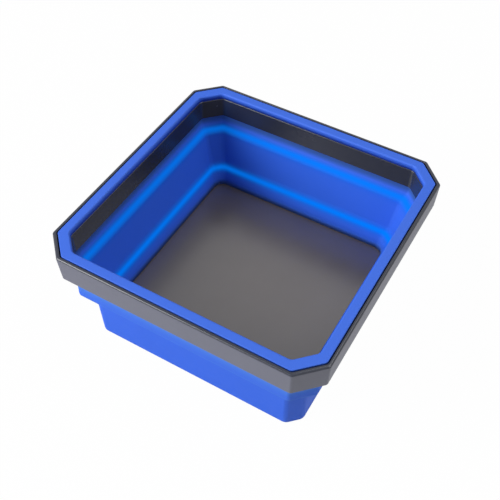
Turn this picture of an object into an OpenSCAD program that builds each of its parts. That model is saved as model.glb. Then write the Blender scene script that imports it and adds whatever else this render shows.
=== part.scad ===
// Collapsible magnetic parts tray, modelled open and standing on its base.
// A stiff rim carries a soft wall that folds down around a magnet base, so the rim sinks to the table.
// Every outline is a square with cut corners, and the corners grow smaller and rounder towards the floor.
// Origin: middle of the underside. +Z points up out of the tray.

/* [Rim] */
// Width of the rim across its flat sides
rim_w = 110; // [100:0.5:150]
// Leg of the cut corner on the rim
rim_leg = 9; // [6:0.25:13]
// Rounding of the rim's corner edges
rim_r = 1.2; // [0.6:0.1:3]
// Height of the rim's outer skirt
skirt_h = 11.4; // [10.5:0.1:14]
// Thickness of the outer skirt
skirt_t = 1.5; // [1:0.1:1.7]
// Width of the rim from its outer face to the well of the tray
rim_band = 5.5; // [5:0.1:7]
// Height of the rim's inner wall
inner_wall_h = 11.3; // [9:0.1:13]
// Thickness of the rim's inner wall
inner_wall_t = 0.9; // [0.6:0.1:1.2]
// Thickness of the web under the lip strip
web_t = 1.6; // [1:0.1:2.5]

/* [Lip strip] */
// Width of the bare border outside the lip strip
lip_border = 1.25; // [0.8:0.05:1.6]
// Groove left open between the border and the lip strip
lip_gap = 0.45; // [0.05:0.05:0.9]
// Depth of the rebate that the lip strip lies in
lip_seat = 2.4; // [0.8:0.1:3]
// Height of the lip strip above the border
lip_rise = 0.1; // [0.1:0.1:1.5]
// Ledge left bare between the lip strip and the well
lip_setback = 0.4; // [0:0.05:1]
// Diameter of the studs that anchor the lip strip to the wall
stud_d = 1.6; // [0.8:0.1:2]
// Studs along each straight side
studs_per_side = 5; // [2:1:8]
// Distance between the studs
stud_pitch = 16; // [8:0.5:18]

/* [Folding wall] */
// Distance of the collar's outer face behind the rim's
collar_inset = 4; // [3.6:0.1:4.3]
// Length of the collar that shows below the skirt
collar_drop = 12.6; // [6:0.1:14]
// Height of the plain band between the rim and the upper ledge
cove_h = 0.5; // [0.3:0.1:2]
// Inward reach of the upper ledge
ledge1_w = 2.9; // [2:0.1:5]
// Height of the upper ledge's curve
ledge1_h = 6.7; // [5:0.1:10]
// Height of the middle wall, the stretch that turns over
mid_wall_h = 12.5; // [7:0.1:14]
// Draft of the middle wall over its height
mid_draft = 2.5; // [0.5:0.1:3.5]
// Inward reach of the lower ledge
ledge2_w = 3.6; // [2.5:0.1:5]
// Height of the lower ledge's curve
ledge2_h = 8.3; // [5:0.1:11]
// Height of the wall between the lower ledge and the floor
low_wall_h = 2.4; // [2:0.1:8]
// Draft of that wall over its height
low_draft = 0.4; // [0.2:0.1:1.5]
// Height of the fold's root on the collar
fold_root_h = 2.6; // [1.8:0.1:3.2]
// Thickness of the soft wall where it joins the base
cup_wall_t = 1.85; // [1.2:0.05:2.4]
// Draft of the base's outer face
cup_draft = 0.35; // [0:0.05:1]
// Thickness of the soft skin around the base plates
cup_skin_t = 1.85; // [1.4:0.05:2.4]

/* [Base] */
// Rounding of the floor's corners
floor_r = 4.3; // [2:0.1:6]
// Thickness of the floor plate
floor_t = 1.8; // [1.2:0.1:3]
// Thickness of the base plate's bottom
plate_t = 1.5; // [1:0.1:2.5]
// Thickness of the base plate's side wall
plate_wall_t = 1.6; // [1:0.1:2.5]
// Thickness of the pad under the base
pad_t = 1; // [0.6:0.1:2]
// Width of the soft hem that holds the base plate from below
hem_w = 3; // [2.2:0.1:4.5]

/* [Magnets] */
// Diameter of a magnet
magnet_d = 26; // [15:0.5:28]
// Thickness of a magnet
magnet_t = 4.8; // [4.2:0.1:8]
// Distance from the plate's side to a magnet's middle
magnet_edge = 23.3; // [20:0.1:24]
// Thickness of the pocket wall around a magnet
pocket_t = 1.6; // [1:0.1:2]
// Height of the pocket wall
pocket_h = 4; // [2:0.1:4.4]

/* [Screws] */
// Distance from the plate's side to a screw's middle
screw_edge = 8.4; // [7.5:0.1:9]
// Diameter of the screw's thread
screw_d = 2.6; // [2:0.1:3.2]
// Diameter of the screw's head
screw_head_d = 4.6; // [4:0.1:5.4]
// Height of the screw's head
screw_head_h = 1.6; // [1:0.1:2]
// Length of the thread in the floor plate's boss
screw_grip = 3.6; // [2.6:0.1:4.2]
// Wall of the boss and of the tower around a screw
boss_wall_t = 2; // [1.2:0.1:2.4]

/* [Hidden] */

// Gap at a close fit between pieces that stay together
fit = 0.05;
// Gap between the fold and the collar, which part when the tray collapses
fold_gap = 0.1;
// Gap around a screw and a magnet
loose_fit = 0.2;
// Overrun of a cut
over = 1;
// Height of the bead's shoulder above the skirt's lower edge
bead_lift = 0.6;
// Rounding of the soft wall's lower edges
soft_edge = 0.7;
// Share of the middle wall's draft that the fold's outer face leans with
fold_lean = 0.8;
// Drop of the fold's outer curve below the upper ledge
fold_lag = 2;
// Air between a magnet and the floor plate
magnet_gap = 0.3;
// Depth of a screw's counterbore below its head
head_sink = 0.2;
// Shoulder under a screw's head
head_shoulder = 1.6;
// Width and depth of the cross recess in a screw's head
recess_w = 0.8;
recess_depth = 0.9;
// Share of the upper ledge's height that belongs to the collar
split_share = 0.33;
// Share of a screw's head that its recess spans
recess_share = 0.6;
// Points on each corner arc, and on each ledge's curve
corner_n = 3;
ledge_n = 8;
// Facets of a round piece
round_fn = 64;

// Half widths, from the rim inwards
rim_half = rim_w / 2;
well_half = rim_half - rim_band;
mid_top_half = well_half - ledge1_w;
mid_low_half = mid_top_half - mid_draft;
low_top_half = mid_low_half - ledge2_w;
floor_half = low_top_half - low_draft;
collar_out = rim_half - collar_inset;
collar_in = well_half - ledge1_w * smooth(split_share);
cup_top_out = mid_low_half + cup_wall_t;
cup_low_out = cup_top_out - cup_draft;
plate_half = cup_low_out - cup_skin_t - fit;
hem_half = cup_low_out - hem_w;
channel_out = rim_half - skirt_t;
channel_in = well_half + inner_wall_t;
lip_out = rim_half - lip_border - lip_gap;
lip_in = well_half + lip_setback;

// Heights, from the table upwards
plate_z = pad_t;
pocket_z = plate_z + plate_t;
plate_top_z = pocket_z + magnet_t + magnet_gap;
floor_z = plate_top_z + floor_t;
low_top_z = floor_z + low_wall_h;
mid_low_z = low_top_z + ledge2_h;
mid_top_z = mid_low_z + mid_wall_h;
band_z = mid_top_z + ledge1_h;
split_z = band_z - ledge1_h * split_share;
well_z = band_z + cove_h;
top_z = well_z + inner_wall_h;
seat_z = top_z - lip_seat;
web_z = seat_z - web_t;
skirt_z = top_z - skirt_h;
collar_z = skirt_z - collar_drop;

// Screws and their bosses
head_z = plate_z + head_sink;
shoulder_z = head_z + screw_head_h;
tower_z = shoulder_z + head_shoulder;
screw_top_z = tower_z + screw_grip;
boss_r = screw_d / 2 + boss_wall_t;
tower_r = screw_head_d / 2 + loose_fit + boss_wall_t;

// Middles of the magnets and of the screws, one in each quarter
quarters = [[1, 1], [-1, 1], [-1, -1], [1, -1]];
magnet_pos = plate_half - magnet_edge;
screw_pos = plate_half - screw_edge;

// Soft step from 0 to 1
function smooth(t) = t * t * (3 - 2 * t);

// Share of the way from the rim in to the floor
function depth_share(half) = (rim_half - half) / (rim_half - floor_half);

// Leg of the cut corner: a full round corner at the floor's edge
function leg_at(half) = rim_leg + ((2 - sqrt(2)) * floor_r - rim_leg) * depth_share(half);

// Rounding of the corner's edges
function round_at(half) = rim_r + (floor_r - rim_r) * depth_share(half);

// Distance of side i, straight or cut, from the middle
function side_at(half, i) = i % 2 == 0 ? half : (2 * half - leg_at(half)) / sqrt(2);

// Middle of the arc between side i and the next, where both sides moved in by the rounding cross
function arc_middle(half, i) =
    let (r = round_at(half), p = side_at(half, i) - r, q = side_at(half, i + 1) - r, a = 45 * i, b = a + 45)
    [p * sin(b) - q * sin(a), q * cos(a) - p * cos(b)] / sin(45);

// Outline of the tray at a half width, anticlockwise from +X
function outline(half) = [for (i = [0:7]) for (k = [0:corner_n])
    let (a = 45 * (i + k / corner_n)) arc_middle(half, i) + round_at(half) * [cos(a), sin(a)]];

// Points of a soft S between two points of a wall's section, from share t0 to share t1 of its height
function s_curve(from, to, t0 = 0, t1 = 1) = [for (k = [0:ledge_n])
    let (t = t0 + (t1 - t0) * k / ledge_n)
    [from[0] + (to[0] - from[0]) * smooth(t), from[1] + (to[1] - from[1]) * t]];

// Straight block with the tray's outline
module block(half, z0, z1)
    translate([0, 0, z0]) linear_extrude(z1 - z0) polygon(outline(half));

// Straight ring between two outlines
module ring(half_out, half_in, z0, z1)
    translate([0, 0, z0]) linear_extrude(z1 - z0)
        difference() {
            polygon(outline(half_out));
            polygon(outline(half_in));
        }

// Ring with a closed section, given anticlockwise as [half width, height] points
module section_ring(section) {
    count = 8 * (corner_n + 1);
    rows = len(section);
    points = [for (s = section) for (p = outline(s[0])) [p[0], p[1], s[1]]];
    faces = [for (i = [0:rows - 1]) for (j = [0:count - 1])
        let (up = (i + 1) % rows, on = (j + 1) % count)
        let (a = i * count + j, b = i * count + on, c = up * count + on, d = up * count + j)
        each [[a, d, c], [a, c, b]]];
    polyhedron(points, faces);
}

// Copies the children to each stud's place over the rim's channel
module at_studs()
    for (turn = [0:3]) for (k = [0:studs_per_side - 1])
        rotate(90 * turn)
            translate([(channel_out + channel_in) / 2, (k - (studs_per_side - 1) / 2) * stud_pitch, 0])
                children();

// Copies the children to each screw's place
module at_screws()
    for (q = quarters) translate(screw_pos * q) children();

// Stiff black rim: an upturned channel with a rebate for the lip strip and holes for its studs
module rim_frame()
    color([0.10, 0.10, 0.11])
        difference() {
            block(rim_half, skirt_z, top_z);
            block(well_half, skirt_z - over, top_z + over);
            block(rim_half - lip_border, seat_z, top_z + over);
            ring(channel_out, channel_in, skirt_z - over, web_z);
            block(channel_in + fit, skirt_z - over, well_z);
            at_studs()
                translate([0, 0, web_z - over])
                    cylinder(h = web_t + 2 * over, d = stud_d, $fn = round_fn);
        }

// Soft blue strip along the top of the rim, with studs down through the web to the wall's bead
module rim_lip()
    color([0.28, 0.44, 0.90]) {
        ring(lip_out, lip_in, seat_z, top_z + lip_rise);
        at_studs()
            translate([0, 0, web_z])
                cylinder(h = lip_seat + web_t, d = stud_d - 2 * fit, $fn = round_fn);
    }

// Upper zone of the soft wall: a bead in the rim's channel and a collar that hangs below it
module wall_collar() {
    bead_z = skirt_z + bead_lift;
    bead_out = channel_out - fit;
    bead_in = channel_in + fit;
    section = concat(
        [[collar_out - soft_edge, collar_z], [collar_out, collar_z + soft_edge], [collar_out, bead_z],
            [bead_out, bead_z], [bead_out, web_z - fit], [bead_in, web_z - fit], [bead_in, well_z - fit],
            [well_half, well_z - fit]],
        s_curve([well_half, band_z], [mid_top_half, mid_top_z], 0, split_share),
        [[collar_in, collar_z]]);
    color([0.16, 0.33, 0.82]) section_ring(section);
}

// Middle zone of the soft wall: the upper ledge and the stretch that turns over as the rim sinks
module fold_wall() {
    root_half = collar_in - fold_gap;
    root_top_z = split_z - fold_gap;
    lean_half = min(cup_top_out + fold_lean * mid_draft, root_half);
    section = concat(
        [[cup_top_out, mid_low_z + fit]],
        s_curve([lean_half, mid_top_z - fold_lag], [root_half, split_z - fold_root_h]),
        [[root_half, root_top_z]],
        [for (p = s_curve([well_half, band_z], [mid_top_half, mid_top_z], split_share, 1))
            if (p[0] < root_half - fold_gap) p],
        [[mid_low_half, mid_low_z + fit]]);
    color([0.13, 0.26, 0.70]) section_ring(section);
}

// Lower zone of the soft wall: the lower ledge, the skin around the base plates and the hem below them
module base_cup() {
    skin_half = plate_half + fit;
    section = concat(
        [[cup_low_out - soft_edge, 0], [cup_low_out, soft_edge], [cup_top_out, mid_low_z]],
        s_curve([mid_low_half, mid_low_z], [low_top_half, low_top_z]),
        [[floor_half, floor_z + fit], [skin_half, floor_z + fit], [skin_half, plate_z - fit],
            [hem_half, plate_z - fit], [hem_half, 0]]);
    color([0.20, 0.40, 0.86]) section_ring(section);
}

// Dark grey floor of the tray, with four bosses below it for the screws
module floor_plate()
    color([0.33, 0.33, 0.34])
        difference() {
            union() {
                block(plate_half, plate_top_z + fit, floor_z);
                at_screws()
                    translate([0, 0, tower_z + fit])
                        cylinder(h = floor_z - floor_t / 2 - tower_z - fit, r = boss_r, $fn = round_fn);
            }
            at_screws()
                translate([0, 0, tower_z - over])
                    cylinder(h = screw_grip + loose_fit + over, d = screw_d + 2 * fit, $fn = round_fn);
        }

// Black tray under the floor, with a pocket for each magnet and a tower for each screw
module base_plate()
    color([0.12, 0.12, 0.13])
        difference() {
            union() {
                difference() {
                    block(plate_half, plate_z, plate_top_z);
                    block(plate_half - plate_wall_t, pocket_z, plate_top_z + over);
                }
                for (q = quarters)
                    translate(concat(magnet_pos * q, pocket_z - plate_t / 2))
                        cylinder(h = pocket_h + plate_t / 2,
                            d = magnet_d + 2 * (loose_fit + pocket_t), $fn = round_fn);
                at_screws()
                    translate([0, 0, pocket_z - plate_t / 2])
                        cylinder(h = tower_z - pocket_z + plate_t / 2, r = tower_r, $fn = round_fn);
            }
            for (q = quarters)
                translate(concat(magnet_pos * q, pocket_z))
                    cylinder(h = pocket_h + over, d = magnet_d + 2 * loose_fit, $fn = round_fn);
            at_screws()
                translate([0, 0, plate_z - over]) {
                    cylinder(h = shoulder_z - plate_z + over, d = screw_head_d + 2 * loose_fit, $fn = round_fn);
                    cylinder(h = tower_z - plate_z + 2 * over, d = screw_d + 2 * loose_fit, $fn = round_fn);
                }
        }

// One round ferrite magnet in its pocket
module magnet(i)
    color([0.22, 0.22, 0.23])
        translate(concat(magnet_pos * quarters[i], pocket_z))
            cylinder(h = magnet_t, d = magnet_d, $fn = round_fn);

// Four screws up through the base plate into the floor plate's bosses
module base_screws()
    color([0.70, 0.71, 0.73])
        at_screws()
            difference() {
                union() {
                    translate([0, 0, head_z]) cylinder(h = screw_head_h, d = screw_head_d, $fn = round_fn);
                    translate([0, 0, head_z]) cylinder(h = screw_top_z - head_z, d = screw_d, $fn = round_fn);
                }
                for (turn = [0, 90])
                    rotate(turn)
                        translate([-recess_share * screw_head_d / 2, -recess_w / 2, head_z - over])
                            cube([recess_share * screw_head_d, recess_w, recess_depth + over]);
            }

// Thin soft pad under the base plate, which covers the screws and rests on the table
module base_pad()
    color([0.15, 0.15, 0.16])
        block(hem_half - fit, 0, plate_z);

rim_frame();
rim_lip();
wall_collar();
fold_wall();
base_cup();
floor_plate();
base_plate();
magnet(0);  // magnet_1
magnet(1);  // magnet_2
magnet(2);  // magnet_3
magnet(3);  // magnet_4
base_screws();
base_pad();
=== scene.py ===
# Collapsible magnetic parts tray: a magnet base in a soft blue cup, a soft wall that folds and a stiff rim.
# The file follows the tray as it is put together, from the plate inside the base to the strip on the rim.
from math import cos, exp, pi, radians, sin, sqrt, tan

import bmesh
import bpy
from mathutils import Matrix, Quaternion, Vector


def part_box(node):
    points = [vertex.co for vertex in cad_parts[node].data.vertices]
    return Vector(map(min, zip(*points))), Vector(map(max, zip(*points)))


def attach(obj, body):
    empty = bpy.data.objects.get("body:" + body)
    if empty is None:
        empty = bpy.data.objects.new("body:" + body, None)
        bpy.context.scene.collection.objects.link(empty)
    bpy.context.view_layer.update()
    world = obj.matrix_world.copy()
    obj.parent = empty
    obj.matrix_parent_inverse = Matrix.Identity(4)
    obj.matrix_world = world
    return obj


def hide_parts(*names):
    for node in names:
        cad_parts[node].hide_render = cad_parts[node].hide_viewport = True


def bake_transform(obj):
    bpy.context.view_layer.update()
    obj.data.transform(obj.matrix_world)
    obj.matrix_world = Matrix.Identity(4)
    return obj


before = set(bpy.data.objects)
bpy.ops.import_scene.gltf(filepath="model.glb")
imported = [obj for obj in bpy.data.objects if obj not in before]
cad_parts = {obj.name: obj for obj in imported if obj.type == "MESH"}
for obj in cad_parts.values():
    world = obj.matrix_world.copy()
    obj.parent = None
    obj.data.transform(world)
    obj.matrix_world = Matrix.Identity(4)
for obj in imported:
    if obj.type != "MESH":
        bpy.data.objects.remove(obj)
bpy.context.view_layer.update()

# Base plate: an injection moulded tray of black plastic, hidden inside the base.
# It holds a magnet in each of its four pockets and is screwed to the floor above it.
MM = 0.001
PLATE_BLACK = (0.030, 0.030, 0.033, 1)
PLATE_DUSTY = (0.052, 0.052, 0.054, 1)


class Tap:
    """A node's output socket that can be used in sums, so that shader maths reads like arithmetic."""

    def __init__(self, tree, socket):
        self.tree = tree
        self.socket = socket

    def node(self, kind, settings, sockets, out=0):
        """Adds a node, sets it up, fills its sockets with values or links, and returns one output."""
        made = self.tree.nodes.new(kind)
        for name, value in settings.items():
            setattr(made, name, value)
        for name, value in sockets.items():
            if isinstance(value, Tap):
                self.tree.links.new(value.socket, made.inputs[name])
            else:
                made.inputs[name].default_value = value
        return Tap(self.tree, made.outputs[out])

    def math(self, operation, *values):
        return self.node("ShaderNodeMath", {"operation": operation}, dict(enumerate(values)))

    def __add__(self, other):
        return self.math("ADD", self, other)

    __radd__ = __add__

    def __sub__(self, other):
        return self.math("SUBTRACT", self, other)

    def __rsub__(self, other):
        return self.math("SUBTRACT", other, self)

    def __mul__(self, other):
        return self.math("MULTIPLY", self, other)

    __rmul__ = __mul__

    def noise(self, size, detail=2.0):
        """Soft noise around 0.5, with blotches of about this size in metres."""
        return self.node("ShaderNodeTexNoise", {}, {"Vector": self, "Scale": 1 / size, "Detail": detail})

    def colours(self, low, high):
        """The colour low where this is 0, and high where it is 1."""
        return self.node("ShaderNodeMix", {"data_type": "RGBA"}, {0: self, 6: low, 7: high}, out=2)

    def bump(self, depth, strength=1.0):
        """A surface normal from this height, which is this deep in metres."""
        return self.node("ShaderNodeBump", {}, {"Height": self, "Distance": depth, "Strength": strength})


def finish(name, **constants):
    """A new material: its shader with constants set on it, and a Tap on the Object coordinates."""
    material = bpy.data.materials.new(name)
    material.use_nodes = True
    tree = material.node_tree
    shader = tree.nodes["Principled BSDF"]
    for socket, value in constants.items():
        shader.inputs[socket.replace("_", " ")].default_value = value
    where = tree.nodes.new("ShaderNodeTexCoord")
    return material, shader, Tap(tree, where.outputs["Object"])


def feed(shader, **taps):
    """Links what changes over the surface to the shader's sockets."""
    for socket, tap in taps.items():
        tap.tree.links.new(tap.socket, shader.inputs[socket.replace("_", " ")])


def dress(node, material):
    """Gives a CAD node its finish."""
    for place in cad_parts[node].material_slots:
        place.material = material


plate_black, shader, where = finish("moulded_black", IOR=1.5)
feed(shader,
     Base_Color=where.noise(6 * MM, 4).colours(PLATE_BLACK, PLATE_DUSTY),
     Roughness=0.45 + 0.2 * where.noise(1.5 * MM),
     Normal=where.noise(0.25 * MM, 3).bump(0.03 * MM))
dress("base_plate", plate_black)

# Magnets: four discs of pressed ferrite with ground faces, a dull dark grey.
# They are glued into the base plate's pockets and hold steel parts to the floor above them.
FERRITE_DARK = (0.035, 0.035, 0.037, 1)
FERRITE_PALE = (0.085, 0.084, 0.084, 1)

ferrite, shader, where = finish("ground_ferrite", IOR=2.0)
grain = where.noise(0.35 * MM, 5)
feed(shader,
     Base_Color=grain.colours(FERRITE_DARK, FERRITE_PALE),
     Roughness=0.4 + 0.3 * grain,
     Normal=grain.bump(0.04 * MM))
for number in range(1, 5):
    dress(f"magnet_{number}", ferrite)

# Floor plate: the tray's floor, a flat plate of dark grey plastic with a fine satin grain.
# Parts that slide over it have left faint rubbed patches. The soft cup's inner edge covers its rim.
FLOOR_DARK = (0.070, 0.059, 0.057, 1)
FLOOR_RUBBED = (0.087, 0.075, 0.072, 1)

floor_grey, shader, where = finish("satin_floor", IOR=1.9)
rubbed = where.noise(18 * MM, 3)
feed(shader,
     Base_Color=rubbed.colours(FLOOR_DARK, FLOOR_RUBBED),
     Roughness=0.20 + 0.08 * rubbed,
     Normal=where.noise(0.5 * MM, 2).bump(0.003 * MM))
dress("floor_plate", floor_grey)

# Screws: four zinc plated steel screws, headed and rolled from wire.
# They are driven up through the base plate into the floor plate's bosses and clamp the two together.
ZINC_DULL = (0.42, 0.43, 0.46, 1)
ZINC_BRIGHT = (0.66, 0.67, 0.70, 1)

zinc, shader, where = finish("zinc_plate", Metallic=1.0)
cloud = where.noise(0.9 * MM, 4)
feed(shader,
     Base_Color=cloud.colours(ZINC_DULL, ZINC_BRIGHT),
     Roughness=0.28 + 0.2 * cloud,
     Normal=where.noise(0.12 * MM, 2).bump(0.008 * MM))
dress("base_screws", zinc)

# Soft wall: one moulding of blue silicone, stretched over the base plates at its foot and gripping the
# floor's edge. It steps in over two thin fold lines, which are painted a brighter blue as painted light,
# with a faint painted glow as though light shone through them, and it is painted darker just below the rim
# and at the floor's edge as painted shade. Its middle turns over when the rim sinks.
RIM_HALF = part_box("rim_frame")[1].x
RIM_LEG = 9 * MM
RIM_ROUND = 1.2 * MM
FLOOR_HALF = 40.1 * MM
FLOOR_ROUND = 4.3 * MM
ROUND_MOST = 0.98
CORNER_STEPS = 8
EDGE_STEPS = 4

SKIN_FIT = 0.05 * MM
HEM_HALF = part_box("base_pad")[1].x + SKIN_FIT
PLATE_SKIN_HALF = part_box("base_plate")[1].x + SKIN_FIT
CUP_TOP_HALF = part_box("base_cup")[1].x
CUP_LOW_HALF = CUP_TOP_HALF - 0.35 * MM
LOW_LEDGE_IN = 40.7 * MM
LOW_LEDGE_OUT = 44.1 * MM
HIGH_LEDGE_IN = 46.6 * MM
HIGH_LEDGE_OUT = 49.8 * MM
FLARE_HALF = CUP_TOP_HALF + 2.0 * MM
ROOT_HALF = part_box("fold_wall")[1].x
ROOT_TOP_HALF = 50.4 * MM
CUP_EDGE = 0.5 * MM
BAND_EDGE = 0.2 * MM

PLATE_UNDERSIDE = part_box("base_plate")[0].z - SKIN_FIT
TRAY_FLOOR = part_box("floor_plate")[1].z + SKIN_FIT
LOW_LEDGE_FOOT = 11.8 * MM
FOLD_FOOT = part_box("base_cup")[1].z
FLARE_TOP = 30.6 * MM
HIGH_LEDGE_FOOT = 32.6 * MM
FOLD_TOP = 34.5 * MM
ROOT_TOP = 37.0 * MM
HIGH_LEDGE_TOP = 39.3 * MM
WALL_TOP = 39.75 * MM
FLARE_STEPS = 8
HIGH_LEDGE_STEPS = 24
HIGH_LEDGE_LEAN = 1.6
WALL_STEPS = 12
LOW_LEDGE_STEPS = 28
LOW_LEDGE_LEAN = 0.75

# The fold lines' painted light, and the painted shade just below the rim and at the floor's edge: the
# height of each, and how far it spreads below and above.
FOLD_PAINTED_LIGHT_AT = ((17.2 * MM, 1.35 * MM, 1.3 * MM), (34.75 * MM, 1.5 * MM, 1.2 * MM))
PAINTED_SHADE_AT = ((9.4 * MM, 1.2 * MM, 1.2 * MM), (39.4 * MM, 2.0 * MM, 1.5 * MM))

SILICONE = (0.021, 0.102, 0.595, 1)
SILICONE_PALE = (0.024, 0.110, 0.635, 1)
# The fold lines' brighter blue is painted light, with a painted glow, and the darker blue below the rim and
# at the floor's edge is painted shade.
FOLD_PAINTED_LIGHT = (0.001, 0.115, 0.64, 1)
SILICONE_PAINTED_SHADE = (0.028, 0.082, 0.27, 1)
FOLD_PAINTED_GLOW = (0, 0.235, 1, 1)
GLOW_LEVEL = 1.4
FOLD_GLOW_SHARE = 0.40
WALL_GLOSS = 1.33


def soft_step(share):
    return share * share * (3 - 2 * share)


def tray_loop(bm, half, height):
    """A closed loop of edges: a square with cut corners, which get smaller and rounder near the floor."""
    depth = (RIM_HALF - half) / (RIM_HALF - FLOOR_HALF)
    floor_leg = (2 - sqrt(2)) * FLOOR_ROUND
    leg = RIM_LEG + (floor_leg - RIM_LEG) * depth
    rounding = RIM_ROUND + (ROUND_MOST * FLOOR_ROUND - RIM_ROUND) * depth
    place = Matrix.Translation((0, 0, height)) @ Matrix.Rotation(pi / 4, 4, "Z")
    square = bmesh.ops.create_circle(bm, cap_ends=True, segments=4, radius=half * sqrt(2), matrix=place)
    cut = bmesh.ops.bevel(bm, geom=square["verts"], offset=leg, segments=1, profile=0.5,
                          affect="VERTICES", material=-1)
    rounded = bmesh.ops.bevel(bm, geom=cut["verts"], offset=rounding * tan(pi / 8), segments=CORNER_STEPS,
                              profile=0.5, affect="VERTICES", material=-1)
    face = rounded["verts"][0].link_faces[0]
    edges = list(face.edges)
    bmesh.ops.delete(bm, geom=[face], context="FACES_ONLY")
    return edges


def straight(start, end, steps):
    """Points of a section, each a half width and a height, from start up to, and without, end."""
    return [tuple(a + (b - a) * k / steps for a, b in zip(start, end)) for k in range(steps)]


def ledge(start, end, steps, lean):
    """Points of a soft S from start up to, and without, end. A lean over 1 moves it towards its end."""
    return [(start[0] + (end[0] - start[0]) * soft_step((k / steps) ** lean),
             start[1] + (end[1] - start[1]) * k / steps) for k in range(steps)]


def nearness(height, line, below, above):
    """1 on a line, and falling to 0 over these spreads below it and above it."""
    return exp(-0.5 * ((height - line) / (below if height < line else above)) ** 2)


def painted_light_and_shade(height):
    """1 on a fold line's painted light, -1 in the painted shade just below the rim and at the floor's edge,
    and 0 far from them.
    """
    painted_light = sum(nearness(height, *line) for line in FOLD_PAINTED_LIGHT_AT)
    painted_shade = sum(nearness(height, *end) for end in PAINTED_SHADE_AT)
    return painted_light - painted_shade


def ring_piece(name, section, material):
    """A closed ring around the tray. A point of its section is a half width, a height, the rounding of its
    edge, and how far it lies in the piece's own zone: painted light, painted shade below 0, and on the rim
    a rougher skirt that is also painted grey as a painted sheen.
    The loops are bridged as a stack, one storey each, and then moved to their heights."""
    bm = bmesh.new()
    zone = bm.verts.layers.float.new("zone")
    loops = [tray_loop(bm, point[0], storey * MM) for storey, point in enumerate(section)]
    for low, high in zip(loops, loops[1:] + loops[:1]):
        bmesh.ops.bridge_loops(bm, edges=low + high)
    for storey, (half, height, rounding, share) in enumerate(section):
        verts = {vert for edge in loops[storey] for vert in edge.verts}
        bmesh.ops.translate(bm, verts=list(verts), vec=(0, 0, height - storey * MM))
        for vert in verts:
            vert[zone] = share
    bmesh.ops.recalc_face_normals(bm, faces=bm.faces)
    for rounding in sorted({point[2] for point in section if point[2]}):
        sharp = [edge for point, edges in zip(section, loops) if point[2] == rounding for edge in edges]
        bmesh.ops.bevel(bm, geom=sharp, offset=rounding, segments=EDGE_STEPS, profile=0.5,
                        affect="EDGES", material=-1)
    for face in bm.faces:
        face.smooth = True
    mesh = bpy.data.meshes.new(name)
    bm.to_mesh(mesh)
    bm.free()
    mesh.materials.append(material)
    piece = bpy.data.objects.new(name, mesh)
    bpy.context.scene.collection.objects.link(piece)
    evened = piece.modifiers.new("even_shading", "WEIGHTED_NORMAL")
    evened.keep_sharp = True
    return piece


def silicone(name, gloss, painted_colour, glow=None, through=0):
    """Blue silicone rubber: matte, faintly cloudy, with a sandblasted mould's grain. Where its zone is
    above 0 it turns to the painted colour, which is painted light, and the share given of that is a painted
    glow, lit like a lamp. Where its zone is below 0 it is painted darker: painted shade."""
    material, shader, where = finish(name, IOR=gloss)
    painted_light = where.node("ShaderNodeAttribute", {"attribute_name": "zone"}, {}, out=2)
    cloud = where.noise(14 * MM, 3).colours(SILICONE, SILICONE_PALE)
    grain = where.noise(0.35 * MM, 3).bump(0.012 * MM)
    feed(shader,
         Base_Color=(-1 * painted_light).colours(cloud, SILICONE_PAINTED_SHADE),
         Roughness=0.58 + 0.10 * where.noise(2 * MM),
         Normal=grain)
    painted_diffuse = where.node("ShaderNodeBsdfDiffuse", {}, {"Color": painted_colour, "Normal": grain})
    rubber = Tap(where.tree, shader.outputs[0])
    skin = where.node("ShaderNodeMixShader", {}, {0: painted_light, 1: rubber, 2: painted_diffuse})
    # through is the share of the painted light that becomes a painted glow: an emission, though the rubber
    # is no lamp.
    if through:
        share = through * painted_light * painted_light * painted_light
        painted_glow = where.node("ShaderNodeEmission", {}, {"Color": glow, "Strength": GLOW_LEVEL})
        skin = where.node("ShaderNodeMixShader", {}, {0: share, 1: skin, 2: painted_glow})
    where.tree.links.new(skin.socket, where.tree.nodes["Material Output"].inputs["Surface"])
    return material


soft_blue = silicone("blue_silicone", WALL_GLOSS, FOLD_PAINTED_LIGHT, FOLD_PAINTED_GLOW, FOLD_GLOW_SHARE)
outer_wall = [
    *straight((CUP_TOP_HALF, FOLD_FOOT), (FLARE_HALF, FLARE_TOP), FLARE_STEPS),
    *ledge((FLARE_HALF, FLARE_TOP), (ROOT_HALF, FOLD_TOP), FLARE_STEPS, 1),
    (ROOT_HALF, FOLD_TOP),
    (ROOT_TOP_HALF, ROOT_TOP),
    (ROOT_TOP_HALF, WALL_TOP),
]
inner_wall = [
    *ledge((HIGH_LEDGE_OUT, HIGH_LEDGE_TOP), (HIGH_LEDGE_IN, HIGH_LEDGE_FOOT),
           HIGH_LEDGE_STEPS, HIGH_LEDGE_LEAN),
    *straight((HIGH_LEDGE_IN, HIGH_LEDGE_FOOT), (LOW_LEDGE_OUT, FOLD_FOOT), WALL_STEPS),
    *ledge((LOW_LEDGE_OUT, FOLD_FOOT), (LOW_LEDGE_IN, LOW_LEDGE_FOOT), LOW_LEDGE_STEPS, LOW_LEDGE_LEAN),
    (LOW_LEDGE_IN, LOW_LEDGE_FOOT),
    (FLOOR_HALF, TRAY_FLOOR),
]
hem = [
    (PLATE_SKIN_HALF, TRAY_FLOOR),
    (PLATE_SKIN_HALF, PLATE_UNDERSIDE),
    (HEM_HALF, PLATE_UNDERSIDE),
    (HEM_HALF, 0),
]
soft_wall = ring_piece("soft_wall", [
    (CUP_LOW_HALF, 0, CUP_EDGE, 0),
    *[(half, height, 0, 0) for half, height in outer_wall],
    (HIGH_LEDGE_OUT, WALL_TOP, BAND_EDGE, 0),
    *[(half, height, 0, painted_light_and_shade(height)) for half, height in inner_wall],
    *[(half, height, 0, 0) for half, height in hem],
], soft_blue)
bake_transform(soft_wall)
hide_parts("base_cup", "fold_wall")

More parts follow.
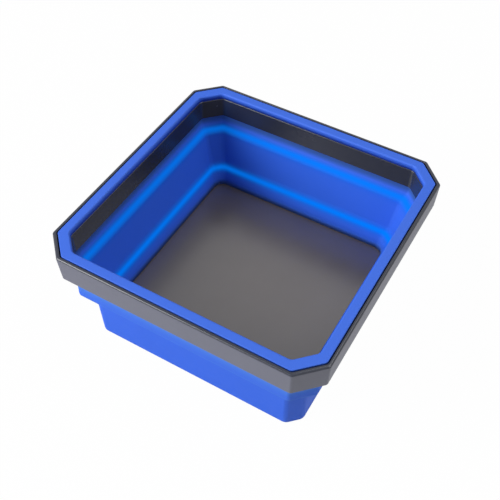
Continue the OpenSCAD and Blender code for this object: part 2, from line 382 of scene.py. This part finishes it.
# Base pad: a thin sheet of black rubber, cut to fit inside the hem and glued over the screws.
# Its edge is rounded where it meets the table.
PAD_BLACK = (0.020, 0.020, 0.022, 1)
PAD_WORN = (0.048, 0.047, 0.046, 1)
PAD_EDGE = 0.3 * MM
PAD_EDGE_STEPS = 3

pad_rubber, shader, where = finish("pad_rubber", IOR=1.5)
scuff = where.noise(9 * MM, 5)
feed(shader,
     Base_Color=scuff.colours(PAD_BLACK, PAD_WORN),
     Roughness=0.62 + 0.25 * scuff,
     Normal=where.noise(0.5 * MM, 4).bump(0.05 * MM))

pad_low, pad_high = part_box("base_pad")
bm = bmesh.new()
rims = [tray_loop(bm, pad_high.x, height) for height in (pad_low.z, pad_high.z)]
bmesh.ops.bridge_loops(bm, edges=rims[0] + rims[1])
bmesh.ops.holes_fill(bm, edges=bm.edges, sides=0)
bmesh.ops.recalc_face_normals(bm, faces=bm.faces)
bmesh.ops.bevel(bm, geom=rims[0], offset=PAD_EDGE, segments=PAD_EDGE_STEPS, profile=0.5,
                affect="EDGES", material=-1)
mesh = bpy.data.meshes.new("grip_pad")
bm.to_mesh(mesh)
bm.free()
mesh.materials.append(pad_rubber)
grip_pad = bpy.data.objects.new("grip_pad", mesh)
bpy.context.scene.collection.objects.link(grip_pad)
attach(grip_pad, "base")
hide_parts("base_pad")

# Collar: the part of the blue silicone wall that hangs outside the fold. A bead along its top is moulded
# into the rim's channel. Below the rim's skirt and along its thin lower edge it is painted paler, a painted
# highlight, with a faint painted glow.
COLLAR_HALF = 51.0 * MM
COLLAR_TOP_HALF = 50.8 * MM
COLLAR_IN_HALF = ROOT_HALF + 0.1 * MM
COLLAR_EDGE = 0.4 * MM
BEAD_IN_HALF = 50.45 * MM
BEAD_FOOT = 40.3 * MM
HIGHLIGHT_BAND_FOOT = 28.3 * MM
HIGHLIGHT_BAND_TOP = 32.5 * MM
HIGHLIGHT_BAND_STEPS = 8
# The collar's paler blue is a painted highlight, and its glow a painted glow.
COLLAR_PAINTED_HIGHLIGHT = (0.058, 0.165, 0.60, 1)
COLLAR_GLOW = (0.17, 0.30, 0.62, 1)
COLLAR_GLOW_SHARE = 0.14
COLLAR_GLOSS = 1.38
# The lower edge's share of the painted highlight, and where it fades out.
EDGE_PAINTED_HIGHLIGHT = 0.8
EDGE_HIGHLIGHT_FOOT = 0.55 * MM
EDGE_HIGHLIGHT_TOP = 1.1 * MM
collar_low, collar_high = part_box("wall_collar")

highlight_band = straight((COLLAR_HALF, HIGHLIGHT_BAND_FOOT), (COLLAR_TOP_HALF, HIGHLIGHT_BAND_TOP), HIGHLIGHT_BAND_STEPS)
soft_collar = ring_piece("soft_collar", [
    (COLLAR_HALF, collar_low.z, COLLAR_EDGE, EDGE_PAINTED_HIGHLIGHT),
    (COLLAR_HALF, collar_low.z + EDGE_HIGHLIGHT_FOOT, 0, EDGE_PAINTED_HIGHLIGHT),
    (COLLAR_HALF, collar_low.z + EDGE_HIGHLIGHT_TOP, 0, 0),
    *[(half, height, 0, step / HIGHLIGHT_BAND_STEPS) for step, (half, height) in enumerate(highlight_band)],
    (COLLAR_TOP_HALF, HIGHLIGHT_BAND_TOP, 0, 1),
    (COLLAR_TOP_HALF, BEAD_FOOT, 0, 0),
    (collar_high.x, BEAD_FOOT, 0, 0),
    (collar_high.x, collar_high.z, 0, 0),
    (BEAD_IN_HALF, collar_high.z, 0, 0),
    (BEAD_IN_HALF, ROOT_TOP, 0, 0),
    (COLLAR_IN_HALF, FOLD_TOP, 0, 0),
    (COLLAR_IN_HALF, collar_low.z, COLLAR_EDGE, 0),
], silicone("collar_silicone", COLLAR_GLOSS, COLLAR_PAINTED_HIGHLIGHT, COLLAR_GLOW, COLLAR_GLOW_SHARE))
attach(soft_collar, "rim")
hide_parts("wall_collar")

# Rim frame: a stiff ring of black plastic, injection moulded. Its section is an upturned channel with a
# rebate for the lip strip. The skirt has a fine etched texture, which roughens it up to the first third of
# its top edge, and there it is also painted grey as a painted sheen. The other faces are polished.
rim_low, rim_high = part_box("rim_frame")
lip_low, lip_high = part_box("rim_lip")
WELL_HALF = 49.5 * MM
SKIRT_FOOT_HALF = rim_high.x - 0.4 * MM
REBATE_HALF = rim_high.x - 1.25 * MM
CHANNEL_IN_HALF = 50.4 * MM
CHANNEL_OUT_HALF = collar_high.x + SKIN_FIT
WELL_FOOT = 39.8 * MM
LIP_SEAT = 48.7 * MM
SKIRT_EDGE = 0.8 * MM
SKIRT_EDGE_STEPS = 6
ETCHED_SHEEN_STEPS = SKIRT_EDGE_STEPS / 3
SKIRT_FOOT_EDGE = 0.2 * MM
SEAT_EDGE = 0.15 * MM
WELL_EDGE = 0.35 * MM
RIM_BLACK = (0.016, 0.019, 0.031, 1)
RIM_GREYED = (0.022, 0.025, 0.040, 1)
# The skirt's grey is a painted sheen on the black plastic.
SKIRT_PAINTED_SHEEN = (0.104, 0.108, 0.146, 1)

rim_black, shader, where = finish("moulded_rim", IOR=1.47)
haze = where.noise(11 * MM, 3)
# The zone marks the etched skirt: it is rougher there, and painted grey as a painted sheen.
etched_and_sheen = where.node("ShaderNodeAttribute", {"attribute_name": "zone"}, {}, out=2)
feed(shader,
     Base_Color=etched_and_sheen.colours(haze.colours(RIM_BLACK, RIM_GREYED), SKIRT_PAINTED_SHEEN),
     Roughness=0.22 + 0.08 * haze + 0.22 * etched_and_sheen,
     Normal=where.noise(0.28 * MM, 3).bump(0.010 * MM))

top_edge = []
for step in range(SKIRT_EDGE_STEPS + 1):
    turn = pi / 2 * step / SKIRT_EDGE_STEPS
    top_edge.append((rim_high.x - SKIRT_EDGE * (1 - cos(turn)), rim_high.z - SKIRT_EDGE * (1 - sin(turn)),
                     0, max(0, 1 - step / ETCHED_SHEEN_STEPS)))
rim_ring = ring_piece("rim_ring", [
    (SKIRT_FOOT_HALF, rim_low.z, SKIRT_FOOT_EDGE, 1),
    *top_edge,
    (REBATE_HALF, rim_high.z, SEAT_EDGE, 0),
    (REBATE_HALF, LIP_SEAT, 0, 0),
    (WELL_HALF, LIP_SEAT, WELL_EDGE, 0),
    (WELL_HALF, WELL_FOOT, SEAT_EDGE, 0),
    (CHANNEL_IN_HALF, WELL_FOOT, 0, 0),
    (CHANNEL_IN_HALF, lip_low.z, 0, 0),
    (CHANNEL_OUT_HALF, lip_low.z, 0, 0),
    (CHANNEL_OUT_HALF, rim_low.z, SKIRT_FOOT_EDGE, 1),
], rim_black)
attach(rim_ring, "rim")
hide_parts("rim_frame")

# Lip strip: a flat strip of the same blue silicone, moulded into the rim's rebate and held by studs below.
# It stands a little proud of the black border, with softly rounded edges, and its top is painted a greyer
# blue as a painted sheen.
LIP_IN_HALF = WELL_HALF + 0.15 * MM
LIP_FOOT = LIP_SEAT + SKIN_FIT
LIP_EDGE = 0.25 * MM
LIP_IN_EDGE = 0.7 * MM
# The top's greyer blue is a painted sheen.
LIP_PAINTED_SHEEN = (0.09, 0.16, 0.40, 1)
LIP_GLOSS = 1.42
LIP_SHEEN_SHARE = 0.2

lip_strip = ring_piece("lip_strip", [
    (lip_high.x, LIP_FOOT, 0, 0),
    (lip_high.x, lip_high.z, LIP_EDGE, LIP_SHEEN_SHARE),
    (LIP_IN_HALF, lip_high.z, LIP_IN_EDGE, LIP_SHEEN_SHARE),
    (LIP_IN_HALF, LIP_FOOT, 0, 0),
], silicone("lip_silicone", LIP_GLOSS, LIP_PAINTED_SHEEN))
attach(lip_strip, "rim")
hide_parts("rim_lip")

# Studio: a wide white floor that keeps the tray's shadow, and a plain room. Both show as white, though the
# room is dim. A key lamp stands at the front left, and two weaker ones at the right and behind the tray.
FLOOR_SIZE = 6.0
FLOOR_WHITE = (0.55, 0.55, 0.55, 1)
FLOOR_GLOW = 0.985
ROOM_LEVEL = 0.16
LAMP_AIM = Vector((0, 0, 0.03))


def shown_white(tree):
    """1 for what the camera sees straight, in gloss or through glass, and 0 for light on the object."""
    path = tree.nodes.new("ShaderNodeLightPath")
    seen = Tap(tree, path.outputs["Is Camera Ray"])
    for kind in ("Is Glossy Ray", "Is Transmission Ray"):
        seen = seen.math("MAXIMUM", seen, Tap(tree, path.outputs[kind]))
    return seen


table_white = bpy.data.materials.new("white_table")
table_white.use_nodes = True
tree = table_white.node_tree
tree.nodes.clear()
seen = shown_white(tree)
matte = seen.node("ShaderNodeBsdfDiffuse", {}, {"Color": FLOOR_WHITE})
glow = seen.node("ShaderNodeEmission", {}, {"Color": (1, 1, 1, 1), "Strength": 1.0})
surface = seen.node("ShaderNodeMixShader", {}, {0: seen * FLOOR_GLOW, 1: matte, 2: glow})
output = tree.nodes.new("ShaderNodeOutputMaterial")
tree.links.new(surface.socket, output.inputs["Surface"])

bm = bmesh.new()
bmesh.ops.create_grid(bm, x_segments=1, y_segments=1, size=FLOOR_SIZE / 2)
mesh = bpy.data.meshes.new("table")
bm.to_mesh(mesh)
bm.free()
mesh.materials.append(table_white)
table = bpy.data.objects.new("table", mesh)
bpy.context.scene.collection.objects.link(table)

world = bpy.data.worlds.new("room")
bpy.context.scene.world = world
world.use_nodes = True
room = world.node_tree.nodes["Background"]
room.inputs["Color"].default_value = (1, 1, 1, 1)
feed(room, Strength=ROOM_LEVEL + (1 - ROOM_LEVEL) * shown_white(world.node_tree))


def softbox(name, place, size, watts):
    """A square lamp of this size in metres, turned to face the tray."""
    lamp = bpy.data.lights.new(name, "AREA")
    lamp.size = size
    lamp.energy = watts
    holder = bpy.data.objects.new(name, lamp)
    holder.location = place
    holder.rotation_euler = (LAMP_AIM - Vector(place)).to_track_quat("-Z", "Y").to_euler()
    bpy.context.scene.collection.objects.link(holder)


softbox("key", place=(-0.58, -0.58, 0.50), size=0.65, watts=14.2)
softbox("right", place=(0.83, 0.08, 0.65), size=0.5, watts=2.9)
softbox("back_right", place=(0.35, 0.35, 0.93), size=0.5, watts=3.2)

# Camera: above the front right corner, looking down at about 50 degrees, as the photograph does.
# It was fitted to the eight corners of the rim, so its place, aim, roll and lens belong together.
CAMERA_AT = Vector((96.97, -168.55, 258.90)) * MM
CAMERA_AIM = Vector((0.75, -2.54, 30.0)) * MM
CAMERA_ROLL = radians(0.208)
LENS = 56.24
SENSOR = 36
NEAREST = 10 * MM

camera = bpy.data.objects.new("camera", bpy.data.cameras.new("camera"))
camera.data.lens = LENS
camera.data.sensor_width = SENSOR
camera.data.clip_start = NEAREST
camera.location = CAMERA_AT
facing = (CAMERA_AIM - CAMERA_AT).to_track_quat("-Z", "Y") @ Quaternion((0, 0, 1), CAMERA_ROLL)
camera.rotation_euler = facing.to_euler()
bpy.context.scene.collection.objects.link(camera)
bpy.context.scene.camera = camera
bpy.context.scene.view_settings.view_transform = "Standard"
